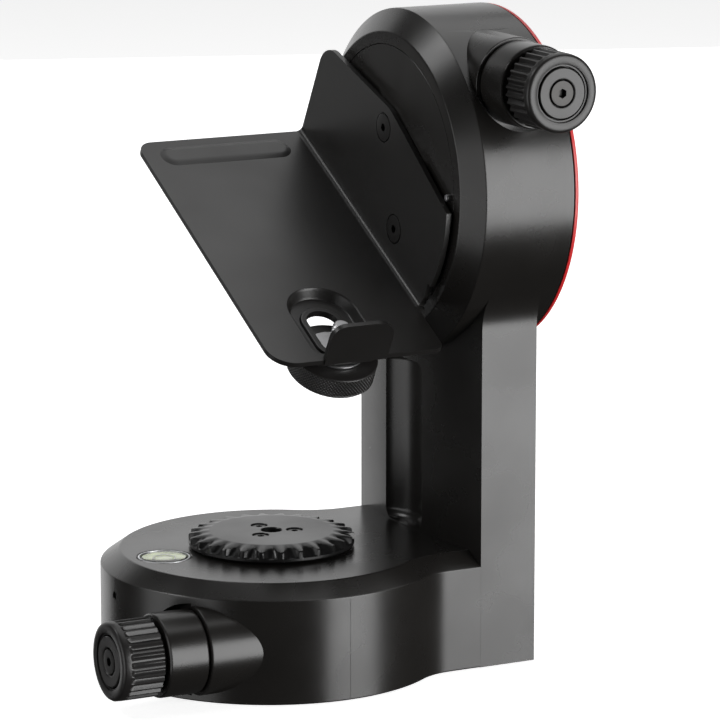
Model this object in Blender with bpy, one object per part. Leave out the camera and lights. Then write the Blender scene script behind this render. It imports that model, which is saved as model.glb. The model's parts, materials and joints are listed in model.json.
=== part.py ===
"""Two-axis fine-drive tripod adapter for a handheld laser distance meter.

An L-shaped housing (round base, column, round drum) carries a pan spindle with a
toothed hand wheel on the vertical axis and a tilting sheet-metal tray on the
horizontal axis.  Each axis has a worm wheel and a worm turned by a ribbed knob.

Frame: origin on the pan axis at the housing's bottom face, +Z up, +X towards the
column and along the tilt axis, -Y towards the operator.  Lengths below are in
millimetres and are scaled to metres when a mesh is made.
"""
import math

import bmesh
import bpy
from mathutils import Matrix, Vector

MM = 0.001
GAP = 0.3                     # clearance between neighbouring solids
RUN = 0.1                     # radial running clearance of shafts in bushes

# Housing: base disc and drum share one keyhole outline
DISC_R = 59.3                 # radius of base disc and drum
COLUMN_HALF_W = 44.4          # half width of the column
NECK_FILLET_R = 22.0          # concave blend between disc and column sides
BASE_EDGE_Z = 35.9            # top of the base's vertical wall
BASE_TOP_Z = 40.6
BASE_CHAMFER = 6.9            # width of the base chamfer
COLUMN_FRONT_X = 58.3         # column front face at its side edges
COLUMN_CROWN = 4.0            # how far the column front bulges at its middle
COLUMN_BACK_X = 79.7
TILT_Z = 165.0                # height of the tilt axis
DRUM_FRONT_X = 45.4
DRUM_EDGE_X = 51.5
DRUM_BACK_X = 85.6
DRUM_CHAMFER = 7.7
GROOVE_Y = 5.5                # finger groove in the column's front face
GROOVE_R = 15.2
GROOVE_TOP_Z = 101.0

# Worm drives, both axes
MODULE = 1.0
PITCH = math.pi * MODULE
PAN_TEETH = 62
TILT_TEETH = 66
PAN_WORM_R = 5.5              # worm pitch radii
TILT_WORM_R = 5.4
PAN_WORM_Z = 17.8
TILT_WORM_X = 69.0
THREAD_HALF = 10.0            # half length of the worm thread
BOSS_R = 15.3
BOSS_END = 47.6               # boss face, measured along the worm axis
SLEEVE_END = 62.3
KNOB_NEAR = 63.4
KNOB_FAR = 78.7
KNOB_R = 13.4
KNOB_RIBS = 30
SHAFT_R = 3.0

# Pan spindle and hand wheel
SPINDLE_R = 12.0
SPINDLE_FOOT_R = 22.0
COVER_R = 52.7
COVER_TOP_Z = 4.5
WHEEL_R = 28.7
WHEEL_FLAT_R = 21.2
WHEEL_BOTTOM_Z = 41.2
WHEEL_RIM_Z = 45.0
WHEEL_TOP_Z = 46.0
WHEEL_TEETH = 26
LEVEL_X, LEVEL_Y, LEVEL_R = -39.9, 2.4, 9.2

# Tray: local u runs up the plate, v is its normal, the tilt axis is at (0, 0)
TRAY_TILT = math.radians(28.55)
SHEET = 1.8
PLATE_V = -20.3               # top surface of the plate
PLATE_LOW, PLATE_HIGH = -67.0, 57.5
PLATE_LEFT = -22.4
FLANGE_X = 42.4               # visible face of the flange
BEND_R = 2.2
FLANGE_ARC_R = 48.0
CLAMP_X, CLAMP_U = 6.0, -56.0
RECESS_DEPTH = 3.7
TAB_LEFT, TAB_RIGHT, TAB_TOP_V = -4.3, 19.3, -6.2


# ---------------------------------------------------------------- tools
def clear_scene():
    for obj in list(bpy.data.objects):
        bpy.data.objects.remove(obj, do_unlink=True)


def finish(colour, roughness, metallic=0.0, name="material"):
    mat = bpy.data.materials.new(name)
    mat.use_nodes = True
    shader = mat.node_tree.nodes["Principled BSDF"]
    shader.inputs["Base Color"].default_value = (*colour, 1.0)
    shader.inputs["Roughness"].default_value = roughness
    shader.inputs["Metallic"].default_value = metallic
    return mat


def to_object(name, bm, mat, place=None, smooth=True):
    """Scale the millimetre mesh to metres and put it in the scene."""
    bmesh.ops.scale(bm, vec=(MM, MM, MM), verts=bm.verts)
    bmesh.ops.recalc_face_normals(bm, faces=bm.faces)
    mesh = bpy.data.meshes.new(name)
    bm.to_mesh(mesh)
    bm.free()
    obj = bpy.data.objects.new(name, mesh)
    bpy.context.scene.collection.objects.link(obj)
    if mat is not None:
        mesh.materials.append(mat)
    if smooth:
        mesh.shade_smooth()
        mesh.set_sharp_from_angle(angle=math.radians(30))
    if place is not None:
        obj.matrix_world = place
    return obj


def at(x, y, z, rotation=None):
    """Placement matrix from millimetres and an optional 3x3 rotation."""
    move = Matrix.Translation(Vector((x, y, z)) * MM)
    return move if rotation is None else move @ rotation.to_4x4()


def axes(x_axis, y_axis, z_axis):
    return Matrix((x_axis, y_axis, z_axis)).transposed()


def lathe(profile, steps=28):
    """Turn a closed (radius, height) outline about Z."""
    bm = bmesh.new()
    verts = [bm.verts.new((r, 0.0, z)) for r, z in profile]
    edges = [bm.edges.new((a, b)) for a, b in zip(verts, verts[1:])]
    if profile[0][0] > 0.0 or profile[-1][0] > 0.0:
        edges.append(bm.edges.new((verts[-1], verts[0])))
    bmesh.ops.spin(bm, geom=verts + edges, cent=(0, 0, 0), axis=(0, 0, 1),
                   angle=2 * math.pi, steps=steps, use_merge=True)
    bmesh.ops.remove_doubles(bm, verts=bm.verts, dist=1e-4)
    return bm


def tube(inner, outer, low, high, steps=28):
    return lathe([(inner, low), (outer, low), (outer, high), (inner, high)], steps)


def rod(radius, low, high, steps=20):
    return lathe([(0, low), (radius, low), (radius, high), (0, high)], steps)


def loft(sections):
    """Close a stack of equal-count outlines [(x, y, z), ...] into one solid."""
    bm = bmesh.new()
    rings = [[bm.verts.new(p) for p in section] for section in sections]
    count = len(rings[0])
    for low, high in zip(rings, rings[1:]):
        for i in range(count):
            j = (i + 1) % count
            bm.faces.new((low[i], low[j], high[j], high[i]))
    bm.faces.new(rings[0][::-1])
    bm.faces.new(rings[-1])
    return bm


def prism(outline, low, high):
    """Extrude a flat (x, y) outline between two heights."""
    return loft([[(x, y, low) for x, y in outline], [(x, y, high) for x, y in outline]])


def arc(cx, cy, radius, start, end, steps):
    """Points on an arc, both ends included, angles in degrees."""
    out = []
    for i in range(steps + 1):
        a = math.radians(start + (end - start) * i / steps)
        out.append((cx + radius * math.cos(a), cy + radius * math.sin(a)))
    return out


def cutter(name, bm, place=None):
    obj = to_object(name, bm, None, place, smooth=False)
    obj.hide_render = True
    obj.display_type = 'WIRE'
    return obj


def boolean(target, tool, operation='DIFFERENCE', solver='EXACT'):
    mod = target.modifiers.new(tool.name, 'BOOLEAN')
    mod.operation = operation
    mod.object = tool
    mod.solver = solver


def merge(parts):
    """Put several bmeshes that stay clear of each other into one."""
    whole = bmesh.new()
    for part in parts:
        mesh = bpy.data.meshes.new("scratch")
        part.to_mesh(mesh)
        part.free()
        whole.from_mesh(mesh)
        bpy.data.meshes.remove(mesh)
    return whole


def moved(bm, matrix):
    bmesh.ops.transform(bm, matrix=matrix, verts=bm.verts)
    return bm


def ring_places(radius, angles):
    return [(radius * math.cos(math.radians(a)), radius * math.sin(math.radians(a))) for a in angles]


# Orientation of parts whose own axis is not the world's Z
TO_X = axes((0, 1, 0), (0, 0, 1), (1, 0, 0))        # local Z along world +X
TRAY_TURN = Matrix.Rotation(TRAY_TILT, 3, 'X')
TRAY_PLACE = at(0, 0, TILT_Z, TRAY_TURN)
PAN_WORM_Y = -(PAN_TEETH * MODULE / 2 + PAN_WORM_R)
TILT_WORM_Z = TILT_Z + TILT_TEETH * MODULE / 2 + TILT_WORM_R
# Worm frames: local Z points out through the knob, local X towards the worm wheel
PAN_DRIVE = at(0, PAN_WORM_Y, PAN_WORM_Z, axes((0, 1, 0), (0, 0, -1), (-1, 0, 0)))
TILT_DRIVE = at(TILT_WORM_X, 0, TILT_WORM_Z, axes((0, 0, -1), (1, 0, 0), (0, -1, 0)))

clear_scene()
BLACK = finish((0.020, 0.019, 0.018), 0.30, 0.0, "black_housing")
POWDER = finish((0.022, 0.021, 0.021), 0.42, 0.0, "black_powder_coat")
WHEEL_BLACK = finish((0.018, 0.018, 0.018), 0.38, 0.0, "black_wheel")
RUBBER = finish((0.012, 0.012, 0.012), 0.70, 0.0, "black_rubber")
KNOB_BLACK = finish((0.025, 0.024, 0.023), 0.38, 0.0, "black_knob")
SCREW_BLACK = finish((0.03, 0.03, 0.03), 0.32, 0.8, "black_oxide_screw")
STEEL = finish((0.55, 0.55, 0.56), 0.28, 1.0, "steel")
BRASS = finish((0.70, 0.50, 0.22), 0.30, 1.0, "brass")
RED = finish((0.62, 0.03, 0.03), 0.35, 0.0, "red_cover")
ALU = finish((0.62, 0.63, 0.64), 0.35, 1.0, "aluminium")
LEVEL_GREEN = finish((0.66, 0.82, 0.10), 0.15, 0.0, "level_fluid")
GLASS = finish((0.90, 0.95, 0.80), 0.05, 0.0, "level_glass")


# ---------------------------------------------------------------- housing
def keyhole(inset, end):
    """Disc plus column outline: the disc at the origin, straight sides towards +first axis.

    The last points dip inside so that the joined column's sides stay the only surface there.
    """
    r_disc = DISC_R - inset
    r_fillet = NECK_FILLET_R + inset
    side = COLUMN_HALF_W - inset
    reach = math.sqrt((DISC_R + NECK_FILLET_R) ** 2 - (COLUMN_HALF_W + NECK_FILLET_R) ** 2)
    meet = math.degrees(math.atan2(COLUMN_HALF_W + NECK_FILLET_R, reach))
    upper = arc(reach, side + r_fillet, r_fillet, -90, meet - 180, 5)
    disc = arc(0, 0, r_disc, meet, 360 - meet, 42)
    lower = [(x, -y) for x, y in reversed(upper)]
    tail = [(end, -side), (end + 2.0, -side + 0.8), (end + 2.0, side - 0.8), (end, side)]
    return upper[:-1] + disc + lower[1:] + tail


def base_block():
    return loft([[(x, y, 0) for x, y in keyhole(0, COLUMN_FRONT_X)],
                 [(x, y, BASE_EDGE_Z) for x, y in keyhole(0, COLUMN_FRONT_X)],
                 [(x, y, BASE_TOP_Z) for x, y in keyhole(BASE_CHAMFER, COLUMN_FRONT_X)]])


def column_block():
    """Column outline in the YZ plane, flared into the drum, extruded along X."""
    reach = math.sqrt((DISC_R + NECK_FILLET_R) ** 2 - (COLUMN_HALF_W + NECK_FILLET_R) ** 2)
    meet = math.degrees(math.atan2(COLUMN_HALF_W + NECK_FILLET_R, reach))
    side = arc(-(COLUMN_HALF_W + NECK_FILLET_R), TILT_Z - reach, NECK_FILLET_R, 0, 90 - meet, 5)
    left = [(-COLUMN_HALF_W, 0.0)] + side + [(-30.0, TILT_Z - 25.0)]
    outline = left + [(-y, z) for y, z in reversed(left)]
    return loft([[(x, y, z) for y, z in outline] for x in (DRUM_EDGE_X, COLUMN_BACK_X)])


def column_front_cutter():
    """Everything in front of the column's gently crowned face."""
    radius = (COLUMN_HALF_W ** 2 + COLUMN_CROWN ** 2) / (2 * COLUMN_CROWN)
    centre = COLUMN_FRONT_X - COLUMN_CROWN + radius
    half = math.degrees(math.asin(70.0 / radius))
    face = arc(centre, 0, radius, 180 - half, 180 + half, 10)
    return prism(face + [(30, -75), (30, 75)], -5, TILT_Z + 10)


def drum_block():
    return lathe([(0, DRUM_FRONT_X), (DISC_R - DRUM_CHAMFER, DRUM_FRONT_X), (DISC_R, DRUM_EDGE_X),
                  (DISC_R, DRUM_BACK_X), (0, DRUM_BACK_X)], 56)


def groove_cutter():
    """Half-round finger groove with a rounded top and bottom."""
    depth = 7.0
    steps = 5
    low = BASE_TOP_Z + 0.2
    top = GROOVE_TOP_Z
    front = COLUMN_FRONT_X - 8.0
    back = COLUMN_FRONT_X - COLUMN_CROWN + depth
    ys = [GROOVE_Y + GROOVE_R * math.sin(math.radians(-90 + 180 * i / (2 * steps)))
          for i in range(2 * steps + 1)]

    def section(z, scale):
        pts = [(front, GROOVE_Y + (y - GROOVE_Y) * scale, z) for y in (ys[-1], ys[0])]
        for y in ys:
            t = (y - GROOVE_Y) / GROOVE_R
            x = front + (back - front) * math.sqrt(max(0.0, 1 - t * t)) * scale
            if abs(t) < 0.999:
                pts.append((x, GROOVE_Y + (y - GROOVE_Y) * scale, z))
        return pts
    ends = [(0.0, 0.80), (1.2, 0.92), (3.5, 1.0)]
    sections = [section(low + h, s) for h, s in ends]
    sections += [section(top - h, s) for h, s in reversed(ends)]
    return loft(sections)


housing = to_object("housing", base_block(), BLACK)
column = cutter("column_block", column_block())
boolean(column, cutter("column_front", column_front_cutter()))
boolean(housing, column, 'UNION')
boolean(housing, cutter("drum_block", drum_block(), at(0, 0, TILT_Z, TO_X)), 'UNION')
boss = [(0, 8.0), (BOSS_R, 8.0), (BOSS_R, BOSS_END - 0.5), (BOSS_R - 0.5, BOSS_END), (0, BOSS_END)]
boolean(housing, cutter("pan_boss", lathe(boss, 28), PAN_DRIVE), 'UNION')
boolean(housing, cutter("tilt_boss", lathe(boss, 28), TILT_DRIVE), 'UNION')


def carve(tool):
    """Cut the housing; its many large flat faces need the manifold solver."""
    boolean(housing, tool, solver='MANIFOLD')


carve(cutter("finger_groove", groove_cutter()))
# Base cavity, open below, with the cover's seat and the spindle's bearing bore
BEARING_R = 15.3
carve(cutter("base_cavity", lathe([
    (0, -2), (COVER_R + GAP, -2), (COVER_R + GAP, COVER_TOP_Z + GAP), (42, COVER_TOP_Z + GAP), (42, 33),
    (BEARING_R, 33), (BEARING_R, BASE_TOP_Z + 2), (0, BASE_TOP_Z + 2)], 32)))
# Drum cavity, open behind, with the back cover's spigot seat and the hub's recess in front
HUB_R = 47.0
HUB_FRONT_X = 44.5
HUB_BACK_X = 49.8
TILT_BEARING_R = 14.3
carve(cutter("drum_cavity", lathe([
    (0, DRUM_FRONT_X - 2), (HUB_R + GAP, DRUM_FRONT_X - 2), (HUB_R + GAP, HUB_BACK_X + GAP),
    (TILT_BEARING_R, HUB_BACK_X + GAP), (TILT_BEARING_R, 58.0), (42, 58.0), (42, 82.0), (54.3, 82.0),
    (54.3, DRUM_BACK_X + 2), (0, DRUM_BACK_X + 2)], 32), at(0, 0, TILT_Z, TO_X)))
# Worm chambers with their two bearing bores
SLEEVE_SPIGOT_R = 10.5
INNER_BUSH_R = 6.0
SPOT_FACE_R = 16.0            # clearance cut into the disc round the sleeve
chamber = [(0, -30), (INNER_BUSH_R + 0.15, -30), (INNER_BUSH_R + 0.15, -18), (8.2, -18), (8.2, 18),
           (SLEEVE_SPIGOT_R + 0.15, 18), (SLEEVE_SPIGOT_R + 0.15, BOSS_END), (SPOT_FACE_R, BOSS_END),
           (SPOT_FACE_R, 75), (0, 75)]
carve(cutter("pan_chamber", lathe(chamber, 24), PAN_DRIVE))
carve(cutter("tilt_chamber", lathe(chamber, 24), TILT_DRIVE))
carve(cutter("level_seat", rod(LEVEL_R + 0.2, 36.2, BASE_TOP_Z + 2, 28), at(LEVEL_X, LEVEL_Y, 0)))
COVER_SCREWS = ring_places(48.0, (90, 210, 330))
carve(cutter("cover_screw_holes", merge(
    [moved(rod(1.4, 3.0, 12.5, 8), Matrix.Translation((x, y, 0))) for x, y in COVER_SCREWS])))
BACK_SCREWS = ring_places(49.0, (30, 150, 270))
carve(cutter("back_screw_holes", merge(
    [moved(rod(1.4, 75.0, 84.0, 8), Matrix.Translation((x, y, 0))) for x, y in BACK_SCREWS]),
    at(0, 0, TILT_Z, TO_X)))
# Small locking screw in the rim, above the pan knob
RIM_ANGLE = 179.0
RIM_SCREW = at(0, 0, 29.4, Matrix.Rotation(math.radians(RIM_ANGLE), 3, 'Z') @ TO_X)
carve(cutter("rim_screw_hole", rod(1.35, 50.0, 62.0, 8), RIM_SCREW))


def round_screw(name, head_r, head_h, shank_r, length, mat, place, socket_r=None, taper=0.0):
    """Screw along local -Z with its head's top at the origin and a hexagon socket."""
    bm = lathe([(0, 0), (head_r, 0), (head_r - taper, -head_h), (shank_r, -head_h),
                (shank_r, -length), (0, -length)], 10)
    screw = to_object(name, bm, mat, place)
    if socket_r:
        hexagon = [(socket_r * math.cos(math.radians(60 * i)), socket_r * math.sin(math.radians(60 * i)))
                   for i in range(6)]
        boolean(screw, cutter(name + "_socket", prism(hexagon, -min(head_h + 0.6, 2.0), 1.0), place))
    return screw


round_screw("rim_set_screw", 1.2, 3.0, 1.2, 6.0, SCREW_BLACK,
            RIM_SCREW @ at(0, 0, DISC_R - 0.7), socket_r=0.65)

# ---------------------------------------------------------------- covers
bottom_cover = to_object("bottom_cover", tube(SPINDLE_FOOT_R + 0.5, COVER_R, 1.5, COVER_TOP_Z, 32), RUBBER)
boolean(bottom_cover, cutter("cover_countersinks", merge(
    [moved(lathe([(0, 0.5), (3.2, 0.5), (3.2, 1.6), (1.7, 3.2), (1.7, 6), (0, 6)], 10),
           Matrix.Translation((x, y, 0))) for x, y in COVER_SCREWS])))
for n, (x, y) in enumerate(COVER_SCREWS, 1):
    head = axes((1, 0, 0), (0, -1, 0), (0, 0, -1))
    round_screw(f"bottom_screw_{n}", 2.9, 1.5, 1.2, 9.5, SCREW_BLACK, at(x, y, 1.7, head), 1.0, taper=1.5)

COVER_FRONT_X = DRUM_BACK_X + GAP
COVER_BACK_X = COVER_FRONT_X + 1.4
back_cover = to_object("back_cover", lathe([
    (0, 83.0), (54.0, 83.0), (54.0, COVER_FRONT_X), (DISC_R - 0.2, COVER_FRONT_X),
    (DISC_R - 0.2, COVER_BACK_X - 0.5), (DISC_R - 0.7, COVER_BACK_X), (0, COVER_BACK_X)], 40),
    RED, at(0, 0, TILT_Z, TO_X))
boolean(back_cover, cutter("back_countersinks", merge(
    [moved(lathe([(0, 80), (1.7, 80), (1.7, 85.6), (3.2, 87.1), (3.2, 89), (0, 89)], 10),
           Matrix.Translation((x, y, 0))) for x, y in BACK_SCREWS]), at(0, 0, TILT_Z, TO_X)))
for n, (x, y) in enumerate(BACK_SCREWS, 1):
    round_screw(f"back_screw_{n}", 2.9, 1.5, 1.2, 10.5, SCREW_BLACK,
                at(0, 0, TILT_Z, TO_X) @ at(x, y, COVER_BACK_X - 0.2), 1.0, taper=1.5)

# ---------------------------------------------------------------- circular level
LEVEL_PLACE = at(LEVEL_X, LEVEL_Y, 0)
to_object("level_cup", lathe([
    (0, 36.5), (LEVEL_R, 36.5), (LEVEL_R, BASE_TOP_Z - 0.1), (LEVEL_R - 0.9, BASE_TOP_Z + 0.1),
    (LEVEL_R - 0.9, 37.5), (0, 37.5)], 24), ALU, LEVEL_PLACE)
to_object("level_fluid", lathe([
    (0, 37.8), (LEVEL_R - 1.2, 37.8), (LEVEL_R - 1.2, 39.4), (3.5, 39.4), (3.5, 38.6), (0, 38.6)], 20),
    LEVEL_GREEN, LEVEL_PLACE)
to_object("level_bubble", lathe([(0, 38.75), (2.6, 38.8), (3.0, 39.1), (2.4, 39.35), (0, 39.4)], 12),
          GLASS, LEVEL_PLACE)
to_object("level_glass", lathe([
    (0, 39.7), (LEVEL_R - 1.2, 39.7), (LEVEL_R - 1.2, 40.3), (LEVEL_R - 1.8, 40.6), (0, 40.7)], 20),
    GLASS, LEVEL_PLACE)


# ---------------------------------------------------------------- worm gearing
def worm_wheel(name, teeth, bore, place, towards):
    """Helical wheel with its middle plane at local Z = 0 and a tooth gap facing `towards`."""
    radius = teeth * MODULE / 2
    width = 8.0
    tip, root = radius + 0.9, radius - 1.3
    step = 2 * math.pi / teeth
    half_root, half_tip = 0.33 * step, 0.12 * step
    lead_angle = math.atan(PITCH / (2 * math.pi * PAN_WORM_R))

    def section(z):
        turn = towards + z * math.tan(lead_angle) / radius
        pts = []
        for i in range(teeth):
            mid = turn + (i + 0.5) * step
            for r, off in ((root, -half_root), (tip, -half_tip), (tip, half_tip), (root, half_root)):
                pts.append((r * math.cos(mid + off), r * math.sin(mid + off), z))
        return pts
    wheel = to_object(name, loft([section(-width / 2), section(width / 2)]), BRASS, place)
    boolean(wheel, cutter(name + "_bore", rod(bore, -width, width, 24), place))
    return wheel


def worm_shaft(name, pitch_r, place):
    """Right-handed worm on its shaft; the thread faces local +X exactly at Z = 0."""
    steps = 8
    root_r = pitch_r - 1.25
    flank = math.tan(math.radians(20))
    half = PITCH / 4 - 0.15
    marks = ((-(half + 1.25 * flank), 0.0), (-(half - flank), 2.25), (half - flank, 2.25),
             (half + 1.25 * flank, 0.0))
    turns = int(2 * THREAD_HALF / PITCH)
    first = -(turns // 2)
    rows = [(p * PITCH + dz, h if first < p < first + turns else 0.0)
            for p in range(first, first + turns + 1) for dz, h in marks]
    per = len(marks)
    count = len(rows) - per
    bm = bmesh.new()

    def point(r, i, z):
        a = 2 * math.pi * i / steps
        return bm.verts.new((r * math.cos(a), r * math.sin(a), z))
    grid = [[point(root_r + h, i, z + PITCH * i / steps) for i in range(steps)] for z, h in rows]
    for k in range(len(rows) - 1):
        for i in range(steps - 1):
            bm.faces.new((grid[k][i], grid[k][i + 1], grid[k + 1][i + 1], grid[k + 1][i]))
    for k in range(count - 1):
        last = steps - 1
        bm.faces.new((grid[k][last], grid[k + per][0], grid[k + per + 1][0], grid[k + 1][last]))
    low_z, high_z = rows[0][0] - 1.5, rows[-1][0] + PITCH + 1.5
    low = [point(root_r, i, low_z) for i in range(steps)]
    high = [point(root_r, i, high_z) for i in range(steps)]
    for i in range(steps - 1):
        bm.faces.new((low[i], low[i + 1], grid[0][i + 1], grid[0][i]))
        bm.faces.new((grid[-1][i], grid[-1][i + 1], high[i + 1], high[i]))
    seam_low = [grid[k][0] for k in range(per, -1, -1)]
    bm.faces.new([grid[0][-1], low[-1], low[0]] + seam_low[::-1])
    seam_high = [grid[k][-1] for k in range(count - 1, len(rows))]
    bm.faces.new([high[-1], high[0], grid[-1][0]] + seam_high)
    inner = [point(SHAFT_R, i, low_z) for i in range(steps)]
    tail = [point(SHAFT_R, i, -28.5) for i in range(steps)]
    outer = [point(SHAFT_R, i, high_z) for i in range(steps)]
    nose = [point(SHAFT_R, i, KNOB_FAR - 5.0) for i in range(steps)]
    for a, b in ((tail, inner), (inner, low), (high, outer), (outer, nose)):
        for i in range(steps):
            j = (i + 1) % steps
            bm.faces.new((a[i], a[j], b[j], b[i]))
    bm.faces.new(tail[::-1])
    bm.faces.new(nose)
    shaft = to_object(name, bm, STEEL, place)
    boolean(shaft, cutter(name + "_tap", rod(1.4, KNOB_FAR - 13, KNOB_FAR, 10), place))
    return shaft


def ribbed_knob(name, place):
    """Knob with closed-ended ribs and a shallow ring groove for its cap."""
    steps = KNOB_RIBS * 2

    def section(z, radius, depth):
        pts = []
        for i in range(steps):
            r = radius - (depth if i % 2 else 0.0)
            a = 2 * math.pi * i / steps
            pts.append((r * math.cos(a), r * math.sin(a), z))
        return pts
    bm = loft([section(KNOB_NEAR, KNOB_R, 0.8), section(KNOB_FAR - 3.0, KNOB_R, 0.8),
               section(KNOB_FAR - 2.6, KNOB_R - 0.2, 0.0), section(KNOB_FAR, KNOB_R - 1.2, 0.0)])
    knob = to_object(name, bm, KNOB_BLACK, place)
    boolean(knob, cutter(name + "_bore", lathe([
        (0, KNOB_NEAR - 2), (SHAFT_R + 0.15, KNOB_NEAR - 2), (SHAFT_R + 0.15, KNOB_FAR - 3.2),
        (9.0, KNOB_FAR - 3.2), (9.0, KNOB_FAR + 2), (0, KNOB_FAR + 2)], 24), place))
    return knob


def fine_drive(prefix, pitch_r, place):
    worm_shaft(prefix + "_worm_shaft", pitch_r, place)
    to_object(prefix + "_inner_bush", tube(SHAFT_R + RUN, INNER_BUSH_R, -27.0, -18.3, 20), BRASS, place)
    # Sleeve: spigot in the boss, visible barrel outside it
    to_object(prefix + "_sleeve", lathe([
        (SHAFT_R + RUN, 20.5), (SLEEVE_SPIGOT_R, 20.5), (SLEEVE_SPIGOT_R, BOSS_END + 0.3),
        (BOSS_R - 1.6, BOSS_END + 0.3), (BOSS_R - 1.0, BOSS_END + 0.9), (BOSS_R - 1.0, SLEEVE_END - 0.5),
        (BOSS_R - 1.5, SLEEVE_END), (SHAFT_R + RUN, SLEEVE_END)], 24), BLACK, place)
    to_object(prefix + "_knob_seal", tube(SHAFT_R + 0.3, 11.6, SLEEVE_END + 0.3, KNOB_NEAR - 0.3, 16),
              RUBBER, place)
    ribbed_knob(prefix + "_knob", place)
    to_object(prefix + "_knob_cap", tube(4.6, 8.7, KNOB_FAR - 2.9, KNOB_FAR - 0.15, 24), KNOB_BLACK, place)
    round_screw(prefix + "_knob_screw", 4.3, 2.7, 1.25, 12.0, SCREW_BLACK, place @ at(0, 0, KNOB_FAR - 0.2), 1.7)


fine_drive("pan", PAN_WORM_R, PAN_DRIVE)
fine_drive("tilt", TILT_WORM_R, TILT_DRIVE)

# ---------------------------------------------------------------- pan spindle
spindle = to_object("pan_spindle", lathe([
    (6.3, 0.3), (SPINDLE_FOOT_R, 0.3), (SPINDLE_FOOT_R, 4.8), (16, 4.8), (16, 9.5), (SPINDLE_R, 9.5),
    (SPINDLE_R, 40.9), (3.5, 40.9), (3.5, 14), (6.3, 14)], 32), ALU)
WHEEL_SCREWS = ring_places(8.0, (96, 216, 336))
boolean(spindle, cutter("spindle_taps", merge(
    [moved(rod(1.3, 32, 43, 8), Matrix.Translation((x, y, 0))) for x, y in WHEEL_SCREWS])))
boolean(spindle, cutter("bush_flange_seat", rod(9.3, -1, 2.8, 24)))
to_object("tripod_bush", lathe([
    (2.8, 0.5), (9.0, 0.5), (9.0, 2.5), (6.1, 2.5), (6.1, 13.5), (2.8, 13.5)], 20), STEEL)
to_object("pan_clutch_washer", lathe([
    (SPINDLE_R + 0.3, 9.9), (14.0, 9.9), (19.5, 13.2), (17.0, 13.2)], 28), STEEL)
worm_wheel("pan_worm_wheel", PAN_TEETH, SPINDLE_R + 0.2, at(0, 0, PAN_WORM_Z), math.radians(-90))
to_object("pan_nut", tube(SPINDLE_R + 0.2, 17.5, PAN_WORM_Z + 4.3, PAN_WORM_Z + 8.3, 24), STEEL)
to_object("pan_bush", tube(SPINDLE_R + RUN, BEARING_R - 0.15, 31.5, 40.4, 32), BRASS)


def hand_wheel():
    """Round foot, scooped teeth round the rim and a flat top with three counterbores."""
    per = 3
    steps = WHEEL_TEETH * per
    scoop = (0.0, 0.4, 3.4)

    def section(z, radius, depth):
        pts = []
        for i in range(steps):
            a = 2 * math.pi * i / steps
            r = radius - depth * scoop[i % per]
            pts.append((r * math.cos(a), r * math.sin(a), z))
        return pts
    bm = loft([section(WHEEL_BOTTOM_Z, WHEEL_R - 0.5, 0), section(WHEEL_BOTTOM_Z + 0.5, WHEEL_R, 0),
               section(WHEEL_BOTTOM_Z + 1.6, WHEEL_R, 0), section(WHEEL_RIM_Z, WHEEL_R, 1.0),
               section(WHEEL_TOP_Z, WHEEL_FLAT_R, 0)])
    wheel = to_object("hand_wheel", bm, WHEEL_BLACK)
    boolean(wheel, cutter("wheel_bore", rod(3.6, 35, 50, 20)))
    boolean(wheel, cutter("wheel_counterbores", merge(
        [moved(lathe([(0, 38), (1.6, 38), (1.6, 43.2), (2.9, 43.2), (2.9, 48), (0, 48)], 12),
               Matrix.Translation((x, y, 0))) for x, y in WHEEL_SCREWS])))


hand_wheel()
for n, (x, y) in enumerate(WHEEL_SCREWS, 1):
    round_screw(f"wheel_screw_{n}", 2.6, 2.0, 1.15, 10.0, SCREW_BLACK, at(x, y, 45.6), 1.25)

# ---------------------------------------------------------------- tilt hub
TILT_AXIS = at(0, 0, TILT_Z, TRAY_TURN @ TO_X)
TRAY_SCREW_PLACES = ((7.0, 17.8), (-16.1, -8.6))     # (u, v) on the flange
HUB_SHAFT_R = 11.0
hub = to_object("tilt_hub", lathe([
    (0, HUB_FRONT_X), (HUB_R - 0.6, HUB_FRONT_X), (HUB_R, HUB_FRONT_X + 0.6), (HUB_R, HUB_BACK_X),
    (HUB_SHAFT_R, HUB_BACK_X), (HUB_SHAFT_R, 80.5), (0, 80.5)], 32), BLACK, TILT_AXIS)
boolean(hub, cutter("hub_taps", merge(
    [moved(rod(2.2, HUB_FRONT_X - 2, 49.0, 12), Matrix.Translation((u, v, 0))) for u, v in TRAY_SCREW_PLACES]),
    TILT_AXIS))
PIN_U, PIN_V = -39.0, 21.7
boolean(hub, cutter("pin_hole", rod(1.4, HUB_FRONT_X - 2, 48.5, 10), TILT_AXIS @ at(PIN_U, PIN_V, 0)))
to_object("hub_index_pin", lathe([(0, 43.6), (0.8, 43.6), (1.2, 44.0), (1.2, 48.2), (0, 48.2)], 10), STEEL,
          TILT_AXIS @ at(PIN_U, PIN_V, 0))
to_object("tilt_bush", tube(HUB_SHAFT_R + RUN, TILT_BEARING_R - 0.15, 50.4, 59.0, 32), BRASS,
          at(0, 0, TILT_Z, TO_X))
to_object("tilt_clutch_washer", lathe([
    (HUB_SHAFT_R + 0.3, 60.4), (13.0, 60.4), (18.5, 63.9), (16.0, 63.9)], 28), STEEL, TILT_AXIS)
# The wheel's gap faces straight up, so its placement ignores the tray's rest angle
worm_wheel("tilt_worm_wheel", TILT_TEETH, HUB_SHAFT_R + 0.2, at(TILT_WORM_X, 0, TILT_Z, TO_X), math.radians(90))
to_object("tilt_nut", tube(HUB_SHAFT_R + 0.2, 16.5, TILT_WORM_X + 4.3, TILT_WORM_X + 8.3, 24), STEEL, TILT_AXIS)


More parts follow.
